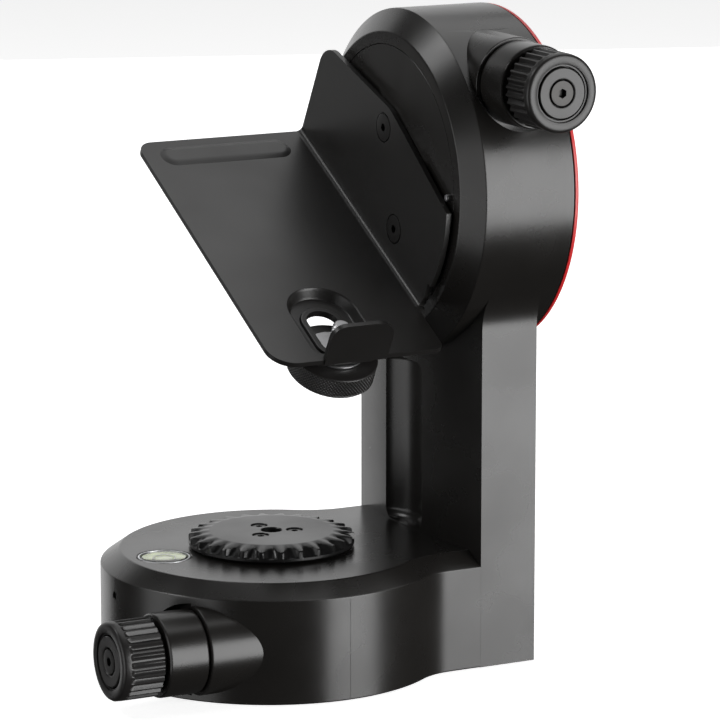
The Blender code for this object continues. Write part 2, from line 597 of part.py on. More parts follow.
# ---------------------------------------------------------------- tray
def rounded(corners, steps=6):
    """Outline from (x, y, radius) corners, each rounded by an arc."""
    out = []
    count = len(corners)
    for i, (x, y, radius) in enumerate(corners):
        here = Vector((x, y))
        back = (Vector(corners[i - 1][:2]) - here).normalized()
        ahead = (Vector(corners[(i + 1) % count][:2]) - here).normalized()
        if radius == 0:
            out.append((x, y))
            continue
        half = back.angle(ahead) / 2
        centre = here + (back + ahead).normalized() * (radius / math.sin(half))
        start = here + back * (radius / math.tan(half)) - centre
        end = here + ahead * (radius / math.tan(half)) - centre
        turn = start.angle_signed(end)
        for k in range(steps + 1):
            a = -turn * k / steps
            ray = Vector((start.x * math.cos(a) - start.y * math.sin(a),
                          start.x * math.sin(a) + start.y * math.cos(a)))
            out.append((centre.x + ray.x, centre.y + ray.y))
    return out


def bent_sheet():
    """L-section of plate and flange, extruded up the plate."""
    low, high = PLATE_V - SHEET, PLATE_V
    inner = arc(FLANGE_X - BEND_R, PLATE_V + BEND_R, BEND_R, -90, 0, 5)
    outer = arc(FLANGE_X - BEND_R, PLATE_V + BEND_R, BEND_R + SHEET, 0, -90, 5)
    section = [(PLATE_LEFT, low), (PLATE_LEFT, high)] + inner + [(FLANGE_X, 28.0), (FLANGE_X + SHEET, 28.0)]
    section += outer
    return loft([[(x, u, v) for x, v in section] for u in (PLATE_LOW, PLATE_HIGH)])


tray = to_object("tray_bracket", bent_sheet(), POWDER, TRAY_PLACE)
# Trim the flange: a shallow roof line on top, an arc on the low side
flange_top = rounded([(-80.0, 19.0, 0), (-43.9, 19.0, 2.5), (6.0, 26.3, 18.0), (57.6, 18.2, 10.0),
                      (57.6, -15.0, 0), (90.0, -15.0, 0), (90.0, 40.0, 0), (-80.0, 40.0, 0)])
side = arc(0, 0, FLANGE_ARC_R, 156.0, 202.5, 10)
low_side = side + [(side[-1][0], PLATE_V), (-80.0, PLATE_V), (-80.0, 19.6), (side[0][0], 19.6)]
for name, outline in (("flange_roof", flange_top), ("flange_side", low_side)):
    boolean(tray, cutter(name, loft([[(x, u, v) for u, v in outline] for x in (36.0, 50.0)]), TRAY_PLACE))
boolean(tray, cutter("flange_relief", loft([[(x, u, v) for u, v in (
    (-80.0, -30.0), (-46.5, -30.0), (-45.0, -10.0), (-80.0, -10.0))] for x in (41.2, 50.0)]), TRAY_PLACE))


def plate_corner(x, u, radius, sx, su):
    """Cutter that rounds one corner of the plate; sx, su point out of the corner."""
    cx, cu = x - sx * radius, u - su * radius
    pts = [(cx + sx * radius * math.sin(math.radians(a)), cu + su * radius * math.cos(math.radians(a)))
           for a in range(0, 91, 15)]
    pts += [(x + sx * 5, cu), (x + sx * 5, u + su * 5), (cx, u + su * 5)]
    return prism(pts, -30, -15)


for name, spec in (("corner_high", (PLATE_LEFT, PLATE_HIGH, 5.5, -1, 1)),
                   ("corner_low", (PLATE_LEFT, PLATE_LOW, 9.0, -1, -1)),
                   ("corner_tab", (41.2, PLATE_LOW, 3.0, 1, -1))):
    boolean(tray, cutter(name, plate_corner(*spec), TRAY_PLACE))


def recess_outline(half, low, high, steps=8):
    """Slot-like outline: a half round at its high end, small corners at its low end."""
    return (arc(CLAMP_X + 0.6, high - half, half, 0, 180, 2 * steps) +
            arc(CLAMP_X + 0.6 - half + 4, low + 4, 4, 180, 270, 3) +
            arc(CLAMP_X + 0.6 + half - 4, low + 4, 4, 270, 360, 3))


def recess_block(grow, top, floor):
    """Tapered block between the recess mouth and its floor."""
    mouth = recess_outline(13.0 + grow, -63.8 - grow, -29.0 + grow)
    bottom = recess_outline(10.2 + grow, -62.6 - grow, -31.8 + grow)
    return loft([[(x, u, floor) for x, u in bottom], [(x, u, top) for x, u in mouth]])


FLOOR_V = PLATE_V - RECESS_DEPTH
boolean(tray, cutter("recess_shell", recess_block(1.2, PLATE_V - 0.4, FLOOR_V - 1.4), TRAY_PLACE), 'UNION')
boolean(tray, cutter("recess", recess_block(0.0, PLATE_V + 0.05, FLOOR_V), TRAY_PLACE))
SLOT_HALF = 5.6
slot = (arc(CLAMP_X, -38.4 - SLOT_HALF, SLOT_HALF, 0, 180, 10) +
        arc(CLAMP_X, -61.0 + SLOT_HALF, SLOT_HALF, 180, 360, 10))
boolean(tray, cutter("clamp_slot", prism(slot, -30, -15), TRAY_PLACE))
# Stop tab bent up from the low edge, on a short neck
tab = rounded([(TAB_LEFT, PLATE_V - SHEET + 0.2, 0.0), (TAB_RIGHT, PLATE_V - SHEET + 0.2, 0.0),
               (TAB_RIGHT, TAB_TOP_V, 6.5), (TAB_LEFT, TAB_TOP_V, 5.0)])
boolean(tray, cutter("stop_tab", loft([[(x, u, v) for x, v in tab] for u in (
    PLATE_LOW - 0.6, PLATE_LOW + SHEET - 0.6)]), TRAY_PLACE), 'UNION')
# Long shallow bead pressed up near the high edge
bead = rounded([(-16.5, 43.0, 3.0), (34.0, 43.0, 3.0), (34.0, 54.0, 3.0), (-16.5, 54.0, 3.0)])
bead_top = rounded([(-14.0, 45.5, 2.0), (31.5, 45.5, 2.0), (31.5, 51.5, 2.0), (-14.0, 51.5, 2.0)])
boolean(tray, cutter("stiffening_bead", loft([[(x, u, PLATE_V - 0.5) for x, u in bead],
                                              [(x, u, PLATE_V + 0.7) for x, u in bead_top]]), TRAY_PLACE), 'UNION')
boolean(tray, cutter("bead_hollow", loft([[(x, u, PLATE_V - SHEET - 0.5) for x, u in bead_top],
                                          [(x, u, PLATE_V - SHEET + 0.7) for x, u in bead_top]]), TRAY_PLACE))
boolean(tray, cutter("flange_holes", merge(
    [moved(rod(5.2, FLANGE_X - 2, FLANGE_X + SHEET + 2, 24), Matrix.Translation((u, v, 0)))
     for u, v in TRAY_SCREW_PLACES]), TILT_AXIS))
for n, (u, v) in enumerate(TRAY_SCREW_PLACES, 1):
    face_out = axes((0, 1, 0), (1, 0, 0), (0, 0, -1))
    round_screw(f"tray_screw_{n}", 4.9, 2.0, 1.9, 6.0, SCREW_BLACK,
                TILT_AXIS @ at(u, v, FLANGE_X - 0.1, face_out), 1.5, taper=0.0)

# ---------------------------------------------------------------- clamp
CLAMP_PLACE = TRAY_PLACE @ at(CLAMP_X, CLAMP_U, 0)
CLAMP_SCREW_R = 3.1
UNDER_V = FLOOR_V - 1.4
to_object("clamp_washer", tube(CLAMP_SCREW_R + 0.15, 9.6, UNDER_V - 1.1, UNDER_V - 0.3, 28), STEEL, CLAMP_PLACE)
to_object("clamp_screw", lathe([
    (0, UNDER_V - 9.2), (CLAMP_SCREW_R, UNDER_V - 9.2), (CLAMP_SCREW_R, -15.6), (CLAMP_SCREW_R - 0.6, -15.0),
    (0, -15.0)], 20), STEEL, CLAMP_PLACE)
to_object("clamp_knob", lathe([
    (CLAMP_SCREW_R + 0.2, UNDER_V - 1.4), (14.6, UNDER_V - 1.4), (15.3, UNDER_V - 2.1), (15.3, UNDER_V - 8.8),
    (14.3, UNDER_V - 9.8), (4.5, UNDER_V - 9.8), (4.5, UNDER_V - 9.5), (CLAMP_SCREW_R + 0.2, UNDER_V - 9.5)],
    28), KNOB_BLACK, CLAMP_PLACE)
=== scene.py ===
"""Detailed look of the fine-drive pan and tilt tripod adapter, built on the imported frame.

Lengths are in millimetres and are scaled to metres when a mesh is made.  The frame is
the row's own: origin on the pan axis at the base's underside, +Z up, +X towards the
column, -Y towards the operator.
"""
import json
import math

import bmesh
import bpy
from mathutils import Matrix, Vector


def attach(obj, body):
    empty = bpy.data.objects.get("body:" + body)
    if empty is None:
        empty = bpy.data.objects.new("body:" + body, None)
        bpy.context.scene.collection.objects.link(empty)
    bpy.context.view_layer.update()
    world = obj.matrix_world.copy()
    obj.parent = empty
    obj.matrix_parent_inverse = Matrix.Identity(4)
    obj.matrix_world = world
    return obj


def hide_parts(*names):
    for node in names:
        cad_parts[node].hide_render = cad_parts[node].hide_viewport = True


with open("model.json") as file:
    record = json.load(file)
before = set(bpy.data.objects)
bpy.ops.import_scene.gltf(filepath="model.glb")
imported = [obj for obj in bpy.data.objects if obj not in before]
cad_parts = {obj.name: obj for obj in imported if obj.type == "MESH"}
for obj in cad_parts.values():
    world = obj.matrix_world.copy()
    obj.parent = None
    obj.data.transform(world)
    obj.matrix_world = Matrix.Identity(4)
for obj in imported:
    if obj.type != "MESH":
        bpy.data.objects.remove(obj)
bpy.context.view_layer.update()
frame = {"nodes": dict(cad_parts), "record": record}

MM = 0.001

# Shared dimensions of the housing, the drives and the tray
DISC_R, COLUMN_HALF_W, NECK_FILLET_R = 59.3, 44.4, 22.0
BASE_EDGE_Z, BASE_TOP_Z, BASE_CHAMFER = 35.9, 40.6, 6.9
COLUMN_FRONT_X, COLUMN_CROWN, COLUMN_BACK_X = 58.3, 4.0, 79.7
TILT_Z = 165.0
DRUM_FRONT_X, DRUM_EDGE_X, DRUM_BACK_X, DRUM_CHAMFER = 45.4, 51.5, 85.6, 7.7
GROOVE_Y, GROOVE_R, GROOVE_TOP_Z = 5.5, 15.2, 101.0
BOSS_R, BOSS_END, SLEEVE_END = 15.3, 47.6, 62.3
KNOB_NEAR, KNOB_FAR, KNOB_R, KNOB_RIBS, SHAFT_R = 63.4, 78.7, 13.4, 30, 3.0
SPINDLE_FOOT_R, COVER_R, COVER_TOP_Z = 22.0, 52.7, 4.5
WHEEL_R, WHEEL_FLAT_R, WHEEL_TEETH = 28.7, 21.2, 26
WHEEL_BOTTOM_Z, WHEEL_RIM_Z, WHEEL_TOP_Z = 41.2, 45.0, 46.0
LEVEL_X, LEVEL_Y, LEVEL_R = -39.9, 2.4, 9.2
TRAY_TILT = math.radians(28.55)
SHEET, PLATE_V, PLATE_LOW, PLATE_HIGH, PLATE_LEFT = 1.8, -20.3, -67.0, 57.5, -22.4
FLANGE_X, BEND_R, FLANGE_ARC_R = 42.4, 2.2, 48.0
CLAMP_X, CLAMP_U, RECESS_DEPTH = 6.0, -56.0, 3.7
TAB_LEFT, TAB_RIGHT, TAB_TOP_V = -4.3, 19.3, -6.2
HUB_R, HUB_FRONT_X, HUB_BACK_X = 47.0, 44.5, 49.8
TRAY_SCREWS = ((7.0, 17.8), (-16.1, -8.6))
PIN_U, PIN_V = -39.0, 21.7
RIM_SCREW_Z, RIM_ANGLE = 29.4, math.radians(179)


# ---------------------------------------------------------------- mesh tools
def at(x, y, z, rotation=None):
    move = Matrix.Translation(Vector((x, y, z)) * MM)
    return move if rotation is None else move @ rotation.to_4x4()


def axes(x_axis, y_axis, z_axis):
    return Matrix((x_axis, y_axis, z_axis)).transposed()


TO_X = axes((0, 1, 0), (0, 0, 1), (1, 0, 0))
TRAY_TURN = Matrix.Rotation(TRAY_TILT, 3, 'X')
TRAY_PLACE = at(0, 0, TILT_Z, TRAY_TURN)
TILT_AXIS = at(0, 0, TILT_Z, TRAY_TURN @ TO_X)
DRUM_PLACE = at(0, 0, TILT_Z, TO_X)
PAN_DRIVE = at(0, -36.5, 17.8, axes((0, 1, 0), (0, 0, -1), (-1, 0, 0)))
TILT_DRIVE = at(69.0, 0, 203.4, axes((0, 0, -1), (1, 0, 0), (0, -1, 0)))
RIM_PLACE = at(0, 0, RIM_SCREW_Z, Matrix.Rotation(RIM_ANGLE, 3, 'Z') @ TO_X)
DOWN = axes((1, 0, 0), (0, -1, 0), (0, 0, -1))


def shade(obj, angle=32):
    mesh = obj.data
    mesh.shade_smooth()
    mesh.set_sharp_from_angle(angle=math.radians(angle))


def solid(name, bm, mat=None, place=None, angle=32):
    """Scale the millimetre mesh to metres and put it in the scene."""
    bmesh.ops.scale(bm, vec=(MM, MM, MM), verts=bm.verts)
    bmesh.ops.recalc_face_normals(bm, faces=bm.faces)
    if place is not None:
        bmesh.ops.transform(bm, matrix=place, verts=bm.verts)
    mesh = bpy.data.meshes.new(name)
    bm.to_mesh(mesh)
    bm.free()
    obj = bpy.data.objects.new(name, mesh)
    bpy.context.scene.collection.objects.link(obj)
    if mat is not None:
        mesh.materials.append(mat)
    shade(obj, angle)
    return obj


def lathe(profile, steps=96):
    """Turn a closed (radius, height) outline about Z."""
    bm = bmesh.new()
    rings = []
    for r, z in profile:
        if r == 0:
            rings.append([bm.verts.new((0, 0, z))])
            continue
        rings.append([bm.verts.new((r * math.cos(2 * math.pi * i / steps),
                                    r * math.sin(2 * math.pi * i / steps), z)) for i in range(steps)])
    closed = profile[0][0] > 0 or profile[-1][0] > 0
    pairs = list(zip(rings, rings[1:])) + ([(rings[-1], rings[0])] if closed else [])
    for a, b in pairs:
        for i in range(steps):
            j = (i + 1) % steps
            corner = [a[i % len(a)], a[j % len(a)], b[j % len(b)], b[i % len(b)]]
            unique = list(dict.fromkeys(corner))
            if len(unique) > 2:
                bm.faces.new(unique)
    return bm


def tube(inner, outer, low, high, edge=0.3, steps=96):
    """Ring with rounded outer edges."""
    e = edge
    return lathe([(inner, low), (outer - e, low), (outer - 0.3 * e, low + 0.3 * e), (outer, low + e),
                  (outer, high - e), (outer - 0.3 * e, high - 0.3 * e), (outer - e, high),
                  (inner, high)], steps)


def rod(radius, low, high, steps=64):
    return lathe([(0, low), (radius, low), (radius, high), (0, high)], steps)


def loft(sections, caps=True):
    """Join a stack of equal-count outlines [(x, y, z), ...]."""
    bm = bmesh.new()
    rings = [[bm.verts.new(p) for p in section] for section in sections]
    count = len(rings[0])
    for low, high in zip(rings, rings[1:]):
        for i in range(count):
            j = (i + 1) % count
            bm.faces.new((low[i], low[j], high[j], high[i]))
    if caps:
        bm.faces.new(rings[0][::-1])
        bm.faces.new(rings[-1])
    return bm


def prism(outline, low, high):
    return loft([[(x, y, low) for x, y in outline], [(x, y, high) for x, y in outline]])


def arc(cx, cy, radius, start, end, steps):
    out = []
    for i in range(steps + 1):
        a = math.radians(start + (end - start) * i / steps)
        out.append((cx + radius * math.cos(a), cy + radius * math.sin(a)))
    return out


def merge(parts):
    whole = bmesh.new()
    for part in parts:
        mesh = bpy.data.meshes.new("scratch")
        part.to_mesh(mesh)
        part.free()
        whole.from_mesh(mesh)
        bpy.data.meshes.remove(mesh)
    return whole


def shifted(bm, x, y, z=0.0):
    bmesh.ops.translate(bm, vec=(x, y, z), verts=bm.verts)
    return bm


def settle(obj, angle=32):
    """Replace the object's mesh with what its modifiers make of it."""
    dg = bpy.context.evaluated_depsgraph_get()
    mesh = bpy.data.meshes.new_from_object(obj.evaluated_get(dg))
    obj.modifiers.clear()
    obj.data = mesh
    shade(obj, angle)


def cut(obj, bm, place=None, operation='DIFFERENCE', solver='EXACT'):
    """Boolean with a throw-away tool, applied at once."""
    tool = solid("tool", bm, None, place)
    mod = obj.modifiers.new("cut", 'BOOLEAN')
    mod.operation = operation
    mod.object = tool
    mod.solver = solver
    dg = bpy.context.evaluated_depsgraph_get()
    mesh = bpy.data.meshes.new_from_object(obj.evaluated_get(dg))
    obj.modifiers.clear()
    obj.data = mesh
    bpy.data.objects.remove(tool, do_unlink=True)


def soften(obj, width, angle=40, segments=2, sharp=32):
    """Small rounded edges, then smooth shading."""
    bm = bmesh.new()
    bm.from_mesh(obj.data)
    bmesh.ops.remove_doubles(bm, verts=bm.verts, dist=2e-6)
    bmesh.ops.dissolve_degenerate(bm, edges=bm.edges, dist=2e-6)
    bm.to_mesh(obj.data)
    bm.free()
    mod = obj.modifiers.new("edges", 'BEVEL')
    mod.width = width * MM
    mod.segments = segments
    mod.limit_method = 'ANGLE'
    mod.angle_limit = math.radians(angle)
    mod.use_clamp_overlap = True
    settle(obj, sharp)


def ring_places(radius, angles):
    return [(radius * math.cos(math.radians(a)), radius * math.sin(math.radians(a))) for a in angles]


def rounded(corners, steps=12):
    """Outline from (x, y, radius) corners, each rounded by an arc."""
    out = []
    for i, (x, y, radius) in enumerate(corners):
        here = Vector((x, y))
        back = (Vector(corners[i - 1][:2]) - here).normalized()
        ahead = (Vector(corners[(i + 1) % len(corners)][:2]) - here).normalized()
        if radius == 0:
            out.append((x, y))
            continue
        half = back.angle(ahead) / 2
        centre = here + (back + ahead).normalized() * (radius / math.sin(half))
        start = here + back * (radius / math.tan(half)) - centre
        end = here + ahead * (radius / math.tan(half)) - centre
        turn = start.angle_signed(end)
        for k in range(steps + 1):
            a = -turn * k / steps
            out.append((centre.x + start.x * math.cos(a) - start.y * math.sin(a),
                        centre.y + start.x * math.sin(a) + start.y * math.cos(a)))
    return out


# ---------------------------------------------------------------- materials
COAT_ROUGHNESS = 0.2
GRAIN_HEIGHT = 0.05


def finish(name, colour, rough, metal=0.0, grain=900.0, bump=0.02, vary=0.15, rough_vary=0.06, coat=0.0,
           scratch=0.0, specular=0.5):
    """Principled surface with fine grain, broad mottling and, if asked, hairline scratches."""
    mat = bpy.data.materials.new(name)
    mat.use_nodes = True
    tree = mat.node_tree
    nodes, links = tree.nodes, tree.links
    shader = nodes["Principled BSDF"]
    shader.inputs["Metallic"].default_value = metal
    shader.inputs["Coat Weight"].default_value = coat
    shader.inputs["Coat Roughness"].default_value = COAT_ROUGHNESS
    shader.inputs["Specular IOR Level"].default_value = specular
    where = nodes.new('ShaderNodeTexCoord')
    fine = nodes.new('ShaderNodeTexNoise')
    fine.inputs["Scale"].default_value = grain
    fine.inputs["Detail"].default_value = 4.0
    broad = nodes.new('ShaderNodeTexNoise')
    broad.inputs["Scale"].default_value = 28.0
    broad.inputs["Detail"].default_value = 5.0
    for tex in (fine, broad):
        links.new(where.outputs["Object"], tex.inputs["Vector"])
    tint = nodes.new('ShaderNodeMix')
    tint.data_type = 'RGBA'
    tint.inputs[6].default_value = (*[c * (1 - vary) for c in colour], 1)
    tint.inputs[7].default_value = (*[min(1.0, c * (1 + vary)) for c in colour], 1)
    links.new(broad.outputs["Fac"], tint.inputs[0])
    links.new(tint.outputs[2], shader.inputs["Base Color"])
    gloss = nodes.new('ShaderNodeMapRange')
    gloss.inputs["From Min"].default_value = 0.3
    gloss.inputs["From Max"].default_value = 0.7
    gloss.inputs["To Min"].default_value = max(0.02, rough - rough_vary)
    gloss.inputs["To Max"].default_value = min(1.0, rough + rough_vary)
    links.new(broad.outputs["Fac"], gloss.inputs["Value"])
    height = fine.outputs["Fac"]
    if scratch:
        stretch = nodes.new('ShaderNodeMapping')
        stretch.inputs["Scale"].default_value = (60.0, 2600.0, 60.0)
        lines = nodes.new('ShaderNodeTexNoise')
        lines.inputs["Scale"].default_value = 1.0
        lines.inputs["Detail"].default_value = 3.0
        links.new(where.outputs["Object"], stretch.inputs["Vector"])
        links.new(stretch.outputs["Vector"], lines.inputs["Vector"])
        both = nodes.new('ShaderNodeMix')
        both.inputs[0].default_value = scratch
        links.new(fine.outputs["Fac"], both.inputs[2])
        links.new(lines.outputs["Fac"], both.inputs[3])
        height = both.outputs[0]
        add = nodes.new('ShaderNodeMath')
        add.operation = 'MULTIPLY_ADD'
        add.inputs[1].default_value = 0.10
        links.new(lines.outputs["Fac"], add.inputs[0])
        links.new(gloss.outputs["Result"], add.inputs[2])
        links.new(add.outputs["Value"], shader.inputs["Roughness"])
    else:
        links.new(gloss.outputs["Result"], shader.inputs["Roughness"])
    relief = nodes.new('ShaderNodeBump')
    relief.inputs["Strength"].default_value = bump
    relief.inputs["Distance"].default_value = GRAIN_HEIGHT * MM
    links.new(height, relief.inputs["Height"])
    links.new(relief.outputs["Normal"], shader.inputs["Normal"])
    return mat


BLACK = finish("housing_black", (0.0125, 0.0115, 0.0105), 0.27, grain=700, bump=0.10, vary=0.25,
               rough_vary=0.05)
POWDER = finish("powder_black", (0.0105, 0.0098, 0.0092), 0.36, grain=2600, bump=0.30, vary=0.2,
                rough_vary=0.05)
WHEEL_BLACK = finish("wheel_black", (0.010, 0.010, 0.010), 0.34, grain=1800, bump=0.15)
RUBBER = finish("rubber", (0.010, 0.010, 0.010), 0.72, grain=2200, bump=0.4)
KNOB_BLACK = finish("knob_black", (0.014, 0.013, 0.0125), 0.38, grain=3200, bump=0.35, vary=0.2)
SCREW_BLACK = finish("screw_black", (0.030, 0.029, 0.028), 0.34, metal=0.7, grain=2400, bump=0.15)
STEEL = finish("steel", (0.56, 0.56, 0.57), 0.26, metal=1.0, grain=1500, bump=0.1, vary=0.08, scratch=0.5)
BRASS = finish("brass", (0.70, 0.50, 0.22), 0.30, metal=1.0, grain=1500, bump=0.1, vary=0.10, scratch=0.4)
RED = finish("red_cover", (0.66, 0.028, 0.030), 0.34, grain=1400, bump=0.12, vary=0.06)
ALU = finish("aluminium", (0.62, 0.63, 0.64), 0.32, metal=1.0, grain=1600, bump=0.1, vary=0.06, scratch=0.5)
FLUID = finish("level_fluid", (0.62, 0.80, 0.10), 0.12, grain=200, bump=0.0, vary=0.06, rough_vary=0.02,
               coat=0.6)
BUBBLE = finish("level_bubble", (0.86, 0.95, 0.55), 0.10, grain=200, bump=0.0, vary=0.04, rough_vary=0.02,
                coat=1.0)
MARK = finish("level_mark", (0.02, 0.03, 0.01), 0.4, grain=900, bump=0.05)
GLASS = finish("level_glass", (0.96, 1.0, 0.88), 0.04, grain=120, bump=0.02, vary=0.02, rough_vary=0.01)
glass_shader = GLASS.node_tree.nodes["Principled BSDF"]
glass_shader.inputs["Transmission Weight"].default_value = 1.0
glass_shader.inputs["IOR"].default_value = 1.35

SLOT_LOOK = {"housing_black": BLACK, "powder_black": POWDER, "wheel_black": WHEEL_BLACK, "rubber": RUBBER,
             "knob_black": KNOB_BLACK, "screw_black": SCREW_BLACK, "steel": STEEL, "brass": BRASS,
             "red_cover": RED, "aluminium": ALU, "level_fluid": FLUID, "level_glass": GLASS}
for entry in frame["record"]["subparts"]:
    carried = frame["nodes"][entry["node"]]
    for spot in carried.material_slots:
        spot.link = 'OBJECT'
        spot.material = SLOT_LOOK[entry["material_slot"]]

BODY_OF = {node: body for body, nodes in frame["record"]["behaviour"]["bodies"].items() for node in nodes}


def stand_in(obj, *nodes):
    """The detailed piece replaces these nodes and rides on their body."""
    even = obj.modifiers.new("flat_faces_stay_flat", 'WEIGHTED_NORMAL')
    even.keep_sharp = True
    even.weight = 80
    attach(obj, BODY_OF[nodes[0]])
    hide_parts(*nodes)
    return obj


# ---------------------------------------------------------------- housing
# Where the concave neck between disc and column is centred, and the angle at which it meets the disc
NECK_REACH = math.sqrt((DISC_R + NECK_FILLET_R) ** 2 - (COLUMN_HALF_W + NECK_FILLET_R) ** 2)
NECK_MEET = math.degrees(math.atan2(COLUMN_HALF_W + NECK_FILLET_R, NECK_REACH))


def keyhole(inset, end):
    """Disc plus column outline with concave necks between them."""
    r_fillet = NECK_FILLET_R + inset
    side = COLUMN_HALF_W - inset
    upper = arc(NECK_REACH, side + r_fillet, r_fillet, -90, NECK_MEET - 180, 16)
    disc = arc(0, 0, DISC_R - inset, NECK_MEET, 360 - NECK_MEET, 150)
    lower = [(x, -y) for x, y in reversed(upper)]
    tail = [(end, -side), (end + 2, -side + 0.8), (end + 2, side - 0.8), (end, side)]
    return upper[:-1] + disc + lower[1:] + tail


def base_block():
    stack = ((0.0, 0.5), (0.5, 0.0), (BASE_EDGE_Z - 0.45, 0.0), (BASE_EDGE_Z - 0.12, 0.10),
             (BASE_EDGE_Z + 0.2, 0.42), (BASE_TOP_Z - 0.22, BASE_CHAMFER - 0.45),
             (BASE_TOP_Z - 0.06, BASE_CHAMFER - 0.12), (BASE_TOP_Z, BASE_CHAMFER + 0.3))
    return loft([[(x, y, z) for x, y in keyhole(inset, COLUMN_FRONT_X)] for z, inset in stack])


def column_block():
    side = arc(-(COLUMN_HALF_W + NECK_FILLET_R), TILT_Z - NECK_REACH, NECK_FILLET_R, 0, 90 - NECK_MEET, 16)
    left = [(-COLUMN_HALF_W, 0.0)] + side + [(-30.0, TILT_Z - 25.0)]
    outline = left + [(-y, z) for y, z in reversed(left)]
    return loft([[(x, y, z) for y, z in outline] for x in (DRUM_EDGE_X, COLUMN_BACK_X)])


def column_front():
    radius = (COLUMN_HALF_W ** 2 + COLUMN_CROWN ** 2) / (2 * COLUMN_CROWN)
    centre = COLUMN_FRONT_X - COLUMN_CROWN + radius
    half = math.degrees(math.asin(70.0 / radius))
    face = arc(centre, 0, radius, 180 - half, 180 + half, 48)
    return prism(face + [(30, -75), (30, 75)], -5, TILT_Z + 10)


def drum_block():
    slope = math.hypot(DRUM_CHAMFER, DRUM_EDGE_X - DRUM_FRONT_X)
    cx, cz = DRUM_CHAMFER / slope, (DRUM_EDGE_X - DRUM_FRONT_X) / slope
    inner = DISC_R - DRUM_CHAMFER
    return lathe([(0, DRUM_FRONT_X), (inner - 0.4, DRUM_FRONT_X), (inner, DRUM_FRONT_X + 0.08),
                  (inner + 0.4 * cx, DRUM_FRONT_X + 0.4 * cz + 0.05),
                  (DISC_R - 0.45 * cx, DRUM_EDGE_X - 0.45 * cz), (DISC_R - 0.1, DRUM_EDGE_X),
                  (DISC_R, DRUM_EDGE_X + 0.45), (DISC_R, DRUM_BACK_X - 0.4), (DISC_R - 0.4, DRUM_BACK_X),
                  (0, DRUM_BACK_X)], 192)


def groove_tool():
    """Half-round finger groove with rounded ends."""
    steps, low, top = 18, BASE_TOP_Z + 0.2, GROOVE_TOP_Z
    front, back = COLUMN_FRONT_X - 8.0, COLUMN_FRONT_X - COLUMN_CROWN + 7.0

    def section(z, scale):
        pts = [(front, GROOVE_Y + GROOVE_R * scale, z), (front, GROOVE_Y - GROOVE_R * scale, z)]
        for i in range(1, 2 * steps):
            t = math.sin(math.radians(-90 + 90 * i / steps))
            x = front + (back - front) * math.sqrt(1 - t * t) * scale
            pts.append((x, GROOVE_Y + GROOVE_R * t * scale, z))
        return pts
    ends = [(0.0, 0.80), (0.5, 0.87), (1.2, 0.92), (2.2, 0.97), (3.5, 1.0)]
    return loft([section(low + h, s) for h, s in ends] +
                [section(top - h, s) for h, s in reversed(ends)])


def build_housing():
    column = solid("column", column_block())
    cut(column, column_front())
    soften(column, 0.6, 30, 3)
    column_mesh = bmesh.new()
    column_mesh.from_mesh(column.data)
    bmesh.ops.scale(column_mesh, vec=(1000, 1000, 1000), verts=column_mesh.verts)
    bpy.data.objects.remove(column, do_unlink=True)
    body = solid("housing_shell", base_block(), BLACK)
    cut(body, column_mesh, None, 'UNION')
    cut(body, drum_block(), DRUM_PLACE, 'UNION')
    boss = [(0, 8.0), (BOSS_R, 8.0), (BOSS_R, BOSS_END - 0.6), (BOSS_R - 0.18, BOSS_END - 0.18),
            (BOSS_R - 0.6, BOSS_END), (0, BOSS_END)]
    cut(body, lathe(boss), PAN_DRIVE, 'UNION')
    cut(body, lathe(boss), TILT_DRIVE, 'UNION')
    base_cavity = lathe([(0, -2), (53.0, -2), (53.0, 4.8), (42, 4.8), (42, 33), (15.3, 33), (15.3, 43),
                         (0, 43)])
    drum_cavity = lathe([(0, 43), (47.4, 43), (47.4, DRUM_FRONT_X), (47.3, DRUM_FRONT_X + 0.12),
                         (47.3, 50.1), (14.3, 50.1), (14.3, 58), (42, 58), (42, 82), (54.3, 82), (54.3, 88),
                         (0, 88)], 160)
    tools = [(groove_tool(), None), (base_cavity, None), (drum_cavity, DRUM_PLACE)]
    chamber = [(0, -30), (6.15, -30), (6.15, -18), (8.2, -18), (8.2, 18), (10.65, 18), (10.65, BOSS_END),
               (16.0, BOSS_END), (16.0, 75), (0, 75)]
    tools += [(lathe(chamber), PAN_DRIVE), (lathe(chamber), TILT_DRIVE)]
    tools.append((lathe([(0, 36.2), (9.4, 36.2), (9.4, 40.3), (9.8, 40.75), (9.8, 43), (0, 43)]),
                  at(LEVEL_X, LEVEL_Y, 0)))
    tools.append((lathe([(0, 50), (1.35, 50), (1.35, 59), (1.6, 59.4), (1.6, 62), (0, 62)], 32), RIM_PLACE))
    tools.append((prism([(-0.12, -60.5), (0.12, -60.5), (0.12, -DISC_R + 0.10), (-0.12, -DISC_R + 0.10)],
                        0.8, BASE_EDGE_Z - 0.8), None))
    for bm, place in tools:
        cut(body, bm, place, solver='MANIFOLD')
    shade(body, 28)
    return body


stand_in(build_housing(), "housing")


# ---------------------------------------------------------------- screws
def cap_screw(name, node, head_r, head_h, shank_r, length, mat, place, socket_r, taper=0.0, dish=0.0):
    """Screw along local -Z with its head's top at the origin and a hexagon socket."""
    e = min(0.25, head_h * 0.2)
    bm = lathe([(0, -dish), (socket_r * 1.25, -dish), (socket_r * 1.25 + 0.15, 0), (head_r - e, 0),
                (head_r - 0.3 * e, -0.3 * e), (head_r, -e), (head_r - taper, -head_h), (shank_r, -head_h),
                (shank_r, -length), (0, -length)], 64)
    screw = solid(name, bm, mat, place)
    hexagon = [(socket_r * math.cos(math.radians(60 * i)), socket_r * math.sin(math.radians(60 * i)))
               for i in range(6)]
    cut(screw, prism(hexagon, -min(head_h + 0.6, 2.0), 1.0), place)
    shade(screw)
    return stand_in(screw, node)


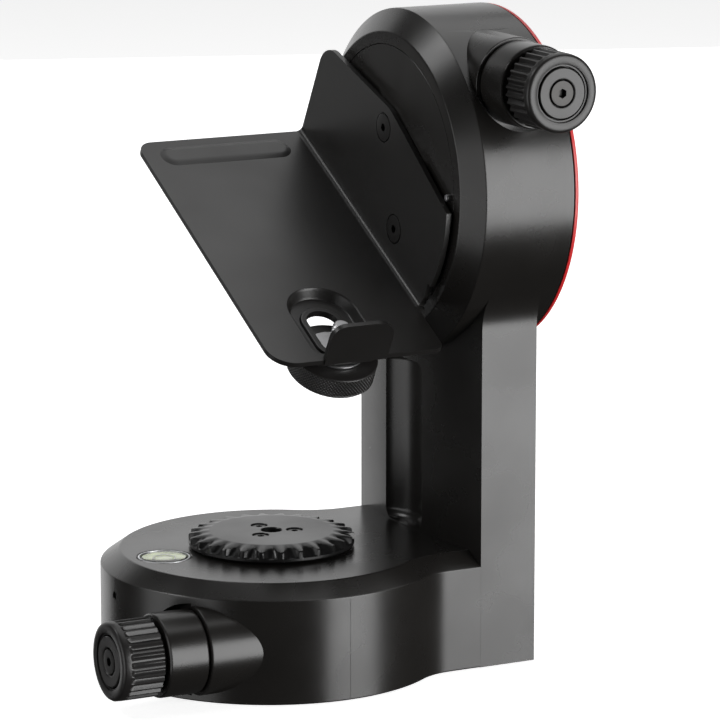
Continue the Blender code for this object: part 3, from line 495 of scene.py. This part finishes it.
COVER_SCREWS = ring_places(48.0, (90, 210, 330))
BACK_SCREWS = ring_places(49.0, (30, 150, 270))
WHEEL_SCREWS = ring_places(8.0, (96, 216, 336))
COVER_BACK_X = DRUM_BACK_X + 1.7
cap_screw("rim_lock", "rim_set_screw", 1.2, 3.0, 1.15, 6.0, SCREW_BLACK,
          RIM_PLACE @ at(0, 0, DISC_R - 0.7), 0.65)
for n, (x, y) in enumerate(COVER_SCREWS, 1):
    cap_screw(f"bottom_fix_{n}", f"bottom_screw_{n}", 2.9, 1.5, 1.2, 9.5, SCREW_BLACK,
              at(x, y, 1.7, DOWN), 1.0, 1.5)
for n, (x, y) in enumerate(BACK_SCREWS, 1):
    cap_screw(f"back_fix_{n}", f"back_screw_{n}", 2.9, 1.5, 1.2, 10.5, SCREW_BLACK,
              DRUM_PLACE @ at(x, y, COVER_BACK_X - 0.2), 1.0, 1.5)
for n, (x, y) in enumerate(WHEEL_SCREWS, 1):
    cap_screw(f"wheel_fix_{n}", f"wheel_screw_{n}", 2.6, 2.0, 1.15, 10.0, SCREW_BLACK, at(x, y, 45.6), 1.25)
for n, (u, v) in enumerate(TRAY_SCREWS, 1):
    cap_screw(f"tray_fix_{n}", f"tray_screw_{n}", 4.9, 2.0, 1.9, 6.0, SCREW_BLACK,
              TILT_AXIS @ at(u, v, FLANGE_X - 0.1, axes((0, 1, 0), (1, 0, 0), (0, 0, -1))), 1.5)

# ---------------------------------------------------------------- covers
back = solid("back_plate", lathe([
    (0, 83.0), (54.0, 83.0), (54.0, DRUM_BACK_X + 0.3), (DISC_R - 0.3, DRUM_BACK_X + 0.3),
    (DISC_R - 0.2, DRUM_BACK_X + 0.4), (DISC_R - 0.2, COVER_BACK_X - 0.5),
    (DISC_R - 0.35, COVER_BACK_X - 0.15), (DISC_R - 0.7, COVER_BACK_X), (40.0, COVER_BACK_X),
    (39.6, COVER_BACK_X - 0.35), (38.8, COVER_BACK_X - 0.35), (38.4, COVER_BACK_X),
    (0, COVER_BACK_X)], 160), RED, DRUM_PLACE)
cut(back, merge([shifted(lathe([(0, 80), (1.7, 80), (1.7, 85.6), (3.2, 87.1), (3.2, 89), (0, 89)], 32), x, y)
                 for x, y in BACK_SCREWS]), DRUM_PLACE)
shade(back)
stand_in(back, "back_cover")
sole = solid("sole_plate", tube(SPINDLE_FOOT_R + 0.5, COVER_R, 1.5, COVER_TOP_Z, 0.4, 128), RUBBER)
cut(sole, merge([shifted(lathe([(0, 0.5), (3.2, 0.5), (3.2, 1.6), (1.7, 3.2), (1.7, 6), (0, 6)], 32), x, y)
                 for x, y in COVER_SCREWS]))
for radius in (28.0, 34.0, 40.0):
    cut(sole, tube(radius, radius + 1.2, 1.0, 1.9, 0.1, 96))
shade(sole)
stand_in(sole, "bottom_cover")

# ---------------------------------------------------------------- circular level
LEVEL_PLACE = at(LEVEL_X, LEVEL_Y, 0)
stand_in(solid("level_ring", lathe([
    (0, 36.5), (LEVEL_R, 36.5), (LEVEL_R, BASE_TOP_Z - 0.35), (LEVEL_R - 0.15, BASE_TOP_Z),
    (LEVEL_R - 0.45, BASE_TOP_Z + 0.1), (LEVEL_R - 0.75, BASE_TOP_Z), (LEVEL_R - 0.9, BASE_TOP_Z - 0.3),
    (LEVEL_R - 0.9, 37.5), (0, 37.5)]), ALU, LEVEL_PLACE), "level_cup")
stand_in(solid("level_liquid", lathe([
    (0, 37.8), (LEVEL_R - 1.2, 37.8), (LEVEL_R - 1.2, 39.4), (3.5, 39.4), (3.2, 38.8), (0, 38.6)]),
    FLUID, LEVEL_PLACE), "level_fluid")
stand_in(solid("level_air", lathe([(0, 38.75), (2.3, 38.8), (2.8, 38.95), (3.0, 39.1), (2.8, 39.3),
                                   (2.4, 39.38), (0, 39.4)]), BUBBLE, LEVEL_PLACE), "level_bubble")
mark = solid("level_circle", tube(3.6, 4.0, 39.42, 39.55, 0.05), MARK, LEVEL_PLACE)
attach(mark, "base")
stand_in(solid("level_window", lathe([
    (0, 39.7), (LEVEL_R - 1.2, 39.7), (LEVEL_R - 1.2, 40.2), (LEVEL_R - 1.4, 40.45), (LEVEL_R - 1.8, 40.6),
    (4.0, 40.68), (0, 40.7)]), GLASS, LEVEL_PLACE), "level_glass")


# ---------------------------------------------------------------- drive knobs
def ribbed_knob(name, node, place):
    """Knob with scooped, closed-ended ribs, a smooth rim and a recessed centre."""
    per = 10
    steps = KNOB_RIBS * per

    def scoop(i):
        phase = (i % per) / per
        return 0.5 - 0.5 * math.cos(2 * math.pi * phase) if 0.12 < phase < 0.88 else 0.0

    def section(z, radius, depth=0.0):
        pts = []
        for i in range(steps):
            r = radius - depth * scoop(i)
            a = 2 * math.pi * i / steps
            pts.append((r * math.cos(a), r * math.sin(a), z))
        return pts
    rim = KNOB_FAR - 3.0
    stack = [section(KNOB_NEAR, SHAFT_R + 1), section(KNOB_NEAR, KNOB_R - 1.1, 0.3),
             section(KNOB_NEAR + 0.15, KNOB_R - 0.5, 0.6), section(KNOB_NEAR + 0.6, KNOB_R, 1.15),
             section(rim - 1.6, KNOB_R, 1.15), section(rim - 0.7, KNOB_R, 0.95),
             section(rim - 0.1, KNOB_R, 0.5),
             section(rim + 0.3, KNOB_R, 0.1), section(rim + 0.5, KNOB_R - 0.02),
             section(KNOB_FAR - 0.9, KNOB_R - 0.12), section(KNOB_FAR - 0.3, KNOB_R - 0.5),
             section(KNOB_FAR - 0.06, KNOB_R - 1.1),
             section(KNOB_FAR, KNOB_R - 1.7), section(KNOB_FAR, 9.9), section(KNOB_FAR - 0.08, 9.75),
             section(KNOB_FAR - 0.7, 9.6), section(KNOB_FAR - 0.75, 9.1), section(KNOB_FAR - 3.1, 9.0),
             section(KNOB_FAR - 3.2, SHAFT_R + 1)]
    return stand_in(solid(name, loft(stack), KNOB_BLACK, place, 40), node)


def drive(prefix, place):
    sleeve = solid(prefix + "_barrel", lathe([
        (SHAFT_R + 0.1, 20.5), (10.5, 20.5), (10.5, BOSS_END + 0.3), (BOSS_R - 1.9, BOSS_END + 0.3),
        (BOSS_R - 1.35, BOSS_END + 0.45), (BOSS_R - 1.1, BOSS_END + 0.9), (BOSS_R - 1.0, BOSS_END + 1.1),
        (BOSS_R - 1.0, SLEEVE_END - 0.9), (BOSS_R - 1.15, SLEEVE_END - 0.35), (BOSS_R - 1.6, SLEEVE_END),
        (SHAFT_R + 0.1, SLEEVE_END)], 128), BLACK, place)
    stand_in(sleeve, prefix + "_sleeve")
    stand_in(solid(prefix + "_gasket", tube(SHAFT_R + 0.3, 11.6, SLEEVE_END + 0.3, KNOB_NEAR - 0.3, 0.1),
                   RUBBER, place), prefix + "_knob_seal")
    ribbed_knob(prefix + "_grip", prefix + "_knob", place)
    stand_in(solid(prefix + "_disc", lathe([
        (4.6, KNOB_FAR - 2.9), (8.7, KNOB_FAR - 2.9), (8.7, KNOB_FAR - 0.75), (8.6, KNOB_FAR - 0.4),
        (8.3, KNOB_FAR - 0.15), (5.3, KNOB_FAR - 0.15), (4.9, KNOB_FAR - 0.3), (4.6, KNOB_FAR - 0.7)], 96),
        KNOB_BLACK, place), prefix + "_knob_cap")
    cap_screw(prefix + "_centre", prefix + "_knob_screw", 4.3, 2.7, 1.25, 12.0, SCREW_BLACK,
              place @ at(0, 0, KNOB_FAR - 0.2), 1.7)


drive("pan", PAN_DRIVE)
drive("tilt", TILT_DRIVE)


# ---------------------------------------------------------------- hand wheel
def hand_wheel():
    """Round foot, slanted finger scoops round the rim and a flat top with counterbores."""
    per = 14
    steps = WHEEL_TEETH * per

    def section(z, radius, depth=0.0, skew=0.0):
        pts = []
        for i in range(steps):
            phase = ((i % per) / per + skew) % 1.0
            bite = math.sin(math.pi * (phase - 0.2) / 0.8) ** 0.75 if phase > 0.2 else 0.0
            r = radius - depth * bite
            a = 2 * math.pi * i / steps
            pts.append((r * math.cos(a), r * math.sin(a), z))
        return pts
    stack = [section(WHEEL_BOTTOM_Z, 3.6), section(WHEEL_BOTTOM_Z, WHEEL_R - 0.5),
             section(WHEEL_BOTTOM_Z + 0.5, WHEEL_R), section(WHEEL_BOTTOM_Z + 1.3, WHEEL_R),
             section(WHEEL_BOTTOM_Z + 1.7, WHEEL_R, 1.2), section(WHEEL_RIM_Z - 0.4, WHEEL_R, 3.6),
             section(WHEEL_RIM_Z, WHEEL_R - 0.4, 3.5), section(WHEEL_TOP_Z - 0.5, WHEEL_R - 3.0, 1.9),
             section(WHEEL_TOP_Z - 0.08, WHEEL_FLAT_R + 0.6), section(WHEEL_TOP_Z, WHEEL_FLAT_R),
             section(WHEEL_TOP_Z, 3.9), section(WHEEL_TOP_Z - 0.3, 3.6)]
    bm = loft(stack, caps=False)
    rings = [v for v in bm.verts if abs(math.hypot(v.co.x, v.co.y) - 3.6) < 1e-4]
    bottom = sorted((v for v in rings if v.co.z < 42), key=lambda v: math.atan2(v.co.y, v.co.x))
    top = sorted((v for v in rings if v.co.z > 42), key=lambda v: math.atan2(v.co.y, v.co.x))
    for i in range(len(top)):
        j = (i + 1) % len(top)
        bm.faces.new((bottom[i], bottom[j], top[j], top[i]))
    wheel = solid("finger_wheel", bm, WHEEL_BLACK, None, 30)
    counterbore = [(0, 38), (1.6, 38), (1.6, 43.2), (2.9, 43.2), (2.9, 45.8), (3.15, 46.05), (3.15, 48), (0, 48)]
    cut(wheel, merge([shifted(lathe(counterbore, 48), x, y) for x, y in WHEEL_SCREWS]))
    shade(wheel, 30)
    return wheel


stand_in(hand_wheel(), "hand_wheel")


# ---------------------------------------------------------------- tilt hub and tray
hub = solid("tilt_disc", lathe([
    (0, HUB_FRONT_X), (30.0, HUB_FRONT_X), (32.0, DRUM_FRONT_X - 0.05), (HUB_R + 0.02, DRUM_FRONT_X),
    (HUB_R + 0.12, DRUM_FRONT_X + 0.1), (HUB_R + 0.12, HUB_BACK_X), (11.0, HUB_BACK_X), (11.0, 80.5),
    (0, 80.5)], 160), BLACK, TILT_AXIS)
cut(hub, merge([shifted(rod(2.2, HUB_FRONT_X - 2, 49.0, 32), u, v) for u, v in TRAY_SCREWS]), TILT_AXIS)
cut(hub, rod(1.4, HUB_FRONT_X - 2, 48.5, 32), TILT_AXIS @ at(PIN_U, PIN_V, 0))
shade(hub)
stand_in(hub, "tilt_hub")
pin = lathe([(0, 43.6), (0.7, 43.6), (1.0, 43.7), (1.2, 44.0), (1.2, 48.2), (0, 48.2)], 32)
stand_in(solid("index_pin", pin, STEEL, TILT_AXIS @ at(PIN_U, PIN_V, 0)), "hub_index_pin")


def recess_outline(half, low, high):
    return (arc(CLAMP_X + 0.6, high - half, half, 0, 180, 48) +
            arc(CLAMP_X + 0.6 - half + 4, low + 4, 4, 180, 270, 10) +
            arc(CLAMP_X + 0.6 + half - 4, low + 4, 4, 270, 360, 10))


def recess_block(grow, top, floor):
    """Tapered block between the recess mouth and its floor; ungrown, its mouth is rolled."""
    sections = []
    if grow > 0:
        stack = ((1.0, floor), (0.55, floor + 0.12), (0.2, floor + 0.5), (0.0, floor + 1.2), (-1.0, top))
    else:
        stack = ((1.0, floor), (0.7, floor + 0.08), (0.45, floor + 0.35), (0.22, floor + 1.0),
                 (-0.55, PLATE_V - 0.9), (-0.75, PLATE_V - 0.35), (-1.1, PLATE_V - 0.05), (-1.6, top))
    for t, v in stack:
        half = 11.4 + grow - 1.1 * t
        outline = recess_outline(half, -63.2 - grow + 0.5 * t, -30.2 + grow - 1.0 * t)
        sections.append([(x, u, v) for x, u in outline])
    return loft(sections)


def tray():
    low, high = PLATE_V - SHEET, PLATE_V
    inner = arc(FLANGE_X - BEND_R, PLATE_V + BEND_R, BEND_R, -90, 0, 12)
    outer = arc(FLANGE_X - BEND_R, PLATE_V + BEND_R, BEND_R + SHEET, 0, -90, 12)
    section = ([(PLATE_LEFT, low), (PLATE_LEFT, high)] + inner +
               [(FLANGE_X, 28.0), (FLANGE_X + SHEET, 28.0)] + outer)
    sheet = solid("tray_sheet", loft([[(x, u, v) for x, v in section] for u in (PLATE_LOW, PLATE_HIGH)]),
                  POWDER, TRAY_PLACE)
    roof = rounded([(-80.0, 19.0, 0), (-43.9, 19.0, 2.5), (6.0, 26.3, 18.0), (57.6, 18.2, 10.0),
                    (57.6, -15.0, 0), (90.0, -15.0, 0), (90.0, 40.0, 0), (-80.0, 40.0, 0)])
    side = arc(0, 0, FLANGE_ARC_R, 156.0, 202.5, 32)
    low_side = side + [(side[-1][0], PLATE_V), (-80.0, PLATE_V), (-80.0, 19.6), (side[0][0], 19.6)]
    for outline in (roof, low_side):
        cut(sheet, loft([[(x, u, v) for u, v in outline] for x in (36.0, 50.0)]), TRAY_PLACE)
    cut(sheet, loft([[(x, u, v) for u, v in ((-80.0, -30.0), (-46.5, -30.0), (-45.0, -10.0), (-80.0, -10.0))]
                     for x in (41.2, 50.0)]), TRAY_PLACE)
    for x, u, radius, sx, su in ((PLATE_LEFT, PLATE_HIGH, 5.5, -1, 1), (PLATE_LEFT, PLATE_LOW, 9.0, -1, -1),
                                 (41.2, PLATE_LOW, 3.0, 1, -1)):
        cx, cu = x - sx * radius, u - su * radius
        pts = [(cx + sx * radius * math.sin(math.radians(a)), cu + su * radius * math.cos(math.radians(a)))
               for a in range(0, 91, 6)]
        pts += [(x + sx * 5, cu), (x + sx * 5, u + su * 5), (cx, u + su * 5)]
        cut(sheet, prism(pts, -30, -15), TRAY_PLACE)
    floor = PLATE_V - RECESS_DEPTH
    cut(sheet, recess_block(1.5, PLATE_V - 0.4, floor - 1.4), TRAY_PLACE, 'UNION')
    cut(sheet, recess_block(0.0, PLATE_V + 0.3, floor), TRAY_PLACE)
    slot = arc(CLAMP_X, -44.0, 5.6, 0, 180, 32) + arc(CLAMP_X, -55.4, 5.6, 180, 360, 32)
    lip = [[(x, u, v) for x, u in arc(CLAMP_X, -44.0, r, 0, 180, 32) + arc(CLAMP_X, -55.4, r, 180, 360, 32)]
           for r, v in ((8.0, floor - 0.6), (7.9, floor + 0.1), (7.5, floor + 0.75), (7.1, floor + 0.95))]
    cut(sheet, loft(lip), TRAY_PLACE, 'UNION')
    cut(sheet, prism(slot, -30, -15), TRAY_PLACE)
    tab = rounded([(TAB_LEFT, PLATE_V - SHEET + 0.2, 0.0), (TAB_RIGHT, PLATE_V - SHEET + 0.2, 0.0),
                   (TAB_RIGHT, TAB_TOP_V, 6.5), (TAB_LEFT, TAB_TOP_V, 5.0)])
    cut(sheet, loft([[(x, u, v) for x, v in tab] for u in (PLATE_LOW - 0.6, PLATE_LOW + SHEET - 0.6)]),
        TRAY_PLACE, 'UNION')
    stack = ((0.0, -0.3), (0.3, 0.06), (1.1, 0.30), (1.9, 0.55), (2.9, 0.70))
    bead = []
    for t, v in stack:
        left, right, near, far, radius = -16.5 + t, 34.0 - t, 43.0 + t, 54.0 - t, 5.4 - t
        outline = rounded([(left, near, radius), (right, near, radius), (right, far, radius),
                           (left, far, radius)])
        bead.append([(x, u, PLATE_V + v) for x, u in outline])
    cut(sheet, loft(bead), TRAY_PLACE, 'UNION')
    hollow = rounded([(-14.0, 45.5, 2.0), (31.5, 45.5, 2.0), (31.5, 51.5, 2.0), (-14.0, 51.5, 2.0)])
    cut(sheet, prism(hollow, PLATE_V - SHEET - 0.5, PLATE_V - SHEET + 0.7), TRAY_PLACE)
    holes = [shifted(rod(5.2, FLANGE_X - 2, FLANGE_X + SHEET + 2, 64), u, v) for u, v in TRAY_SCREWS]
    cut(sheet, merge(holes), TILT_AXIS)
    soften(sheet, 0.28, 50, 2, 30)
    return sheet


stand_in(tray(), "tray_bracket")

# ---------------------------------------------------------------- clamp
CLAMP_PLACE = TRAY_PLACE @ at(CLAMP_X, CLAMP_U, 0)
UNDER_V = PLATE_V - RECESS_DEPTH - 1.4


def knurled_knob():
    """Diamond-knurled barrel between two chamfers, with a stepped lower face."""
    around, rows, teeth = 480, 48, 80
    low, high, radius = UNDER_V - 8.8, UNDER_V - 2.1, 15.25
    stack = [[(r * math.cos(2 * math.pi * i / around), r * math.sin(2 * math.pi * i / around), z)
              for i in range(around)] for r, z in
             ((3.4, UNDER_V - 9.5), (4.4, UNDER_V - 9.5), (4.5, UNDER_V - 9.8), (13.9, UNDER_V - 9.8),
              (14.4, UNDER_V - 9.6))]
    for k in range(rows + 1):
        z = low + (high - low) * k / rows
        ring = []
        for i in range(around):
            a = 2 * math.pi * i / around
            shift = (z - low) / 0.62 * 0.5
            one = abs(((teeth * a / (2 * math.pi) + shift) % 1.0) - 0.5) * 2
            two = abs(((teeth * a / (2 * math.pi) - shift) % 1.0) - 0.5) * 2
            fade = min(1.0, k / 2.0, (rows - k) / 2.0)
            r = radius - 0.15 - 0.42 * max(one, two) ** 2 * fade
            ring.append((r * math.cos(a), r * math.sin(a), z))
        stack.append(ring)
    stack += [[(r * math.cos(2 * math.pi * i / around), r * math.sin(2 * math.pi * i / around), z)
               for i in range(around)] for r, z in ((14.6, UNDER_V - 1.4), (3.4, UNDER_V - 1.4))]
    return solid("clamp_grip", loft(stack), KNOB_BLACK, CLAMP_PLACE, 60)


def threaded_rod():
    """Quarter-inch screw with a real helical thread and a chamfered end."""
    around, pitch, radius = 48, 1.27, 3.1
    low, high = UNDER_V - 9.2, -15.0
    rows = int((high - low) / pitch * 10)
    stack = []
    for k in range(rows + 1):
        z = low + (high - low) * k / rows
        ring = []
        for i in range(around):
            phase = (z / pitch - i / around) % 1.0
            depth = 0.62 * min(1.0, max(0.0, 1.25 * (1 - abs(phase - 0.5) * 2) - 0.12))
            end = min(1.0, (high - z) / 0.7)
            r = min(radius - depth, radius - 0.75 * (1 - end))
            a = 2 * math.pi * i / around
            ring.append((r * math.cos(a), r * math.sin(a), z))
        stack.append(ring)
    return solid("clamp_thread", loft(stack), STEEL, CLAMP_PLACE, 50)


stand_in(knurled_knob(), "clamp_knob")
stand_in(threaded_rod(), "clamp_screw")
stand_in(solid("clamp_disc", tube(3.25, 9.6, UNDER_V - 1.1, UNDER_V - 0.3, 0.15), STEEL, CLAMP_PLACE),
         "clamp_washer")

# ---------------------------------------------------------------- stage, light, camera
floor_mat = finish("floor", (0.90, 0.90, 0.90), 0.85, grain=40, bump=0.0, vary=0.005, rough_vary=0.02,
                   specular=0.1)
floor_glow = floor_mat.node_tree.nodes["Principled BSDF"]
floor_glow.inputs["Emission Color"].default_value = (1, 1, 1, 1)
floor_glow.inputs["Emission Strength"].default_value = 0.80
floor_mesh = bmesh.new()
bmesh.ops.create_grid(floor_mesh, x_segments=2, y_segments=2, size=9000)
floor = solid("floor", shifted(floor_mesh, 0, 0, -0.02), floor_mat)
floor.visible_glossy = False
floor.visible_diffuse = False
floor.visible_shadow = False


def softbox(name, direction, distance, width, height, radiance, target=(0.03, 0.0, 0.11)):
    """Rectangular light of the given radiance, facing the object."""
    data = bpy.data.lights.new(name, 'AREA')
    data.shape = 'RECTANGLE'
    data.size, data.size_y = width, height
    data.energy = math.pi * width * height * radiance
    lamp = bpy.data.objects.new(name, data)
    bpy.context.scene.collection.objects.link(lamp)
    ray = Vector(direction).normalized()
    lamp.location = Vector(target) + ray * distance
    lamp.rotation_mode = 'QUATERNION'
    lamp.rotation_quaternion = (-ray).to_track_quat('-Z', 'Y')


softbox("backdrop", (0.33, 0.94, 0.05), 1.6, 2.6, 1.9, 0.95)
softbox("front_right", (0.46, -0.88, 0.00), 1.4, 0.9, 1.1, 6.5)
softbox("left_side", (-0.98, 0.00, -0.06), 1.3, 1.3, 1.1, 1.5)
softbox("overhead", (0.35, 0.20, 0.91), 1.3, 1.4, 1.2, 1.4)
softbox("upper_left", (-0.59, 0.37, 0.72), 1.3, 0.35, 0.35, 7.0)

world = bpy.data.worlds.new("studio")
world.use_nodes = True
world.node_tree.nodes["Background"].inputs["Color"].default_value = (1, 1, 1, 1)
world.node_tree.nodes["Background"].inputs["Strength"].default_value = 0.03
bpy.context.scene.world = world
bpy.context.scene.view_settings.view_transform = 'Standard'

camera_data = bpy.data.cameras.new("camera")
camera_data.lens = 209.95
camera_data.sensor_width = 36.0
camera_data.clip_start, camera_data.clip_end = 0.05, 60.0
camera = bpy.data.objects.new("camera", camera_data)
bpy.context.scene.collection.objects.link(camera)
camera.location = (-0.627236, -1.266566, 0.394551)
camera.rotation_mode = 'QUATERNION'
camera.rotation_quaternion = (Vector((0.0346, 0.0, 0.1027)) - camera.location).to_track_quat('-Z', 'Y')
bpy.context.scene.camera = camera
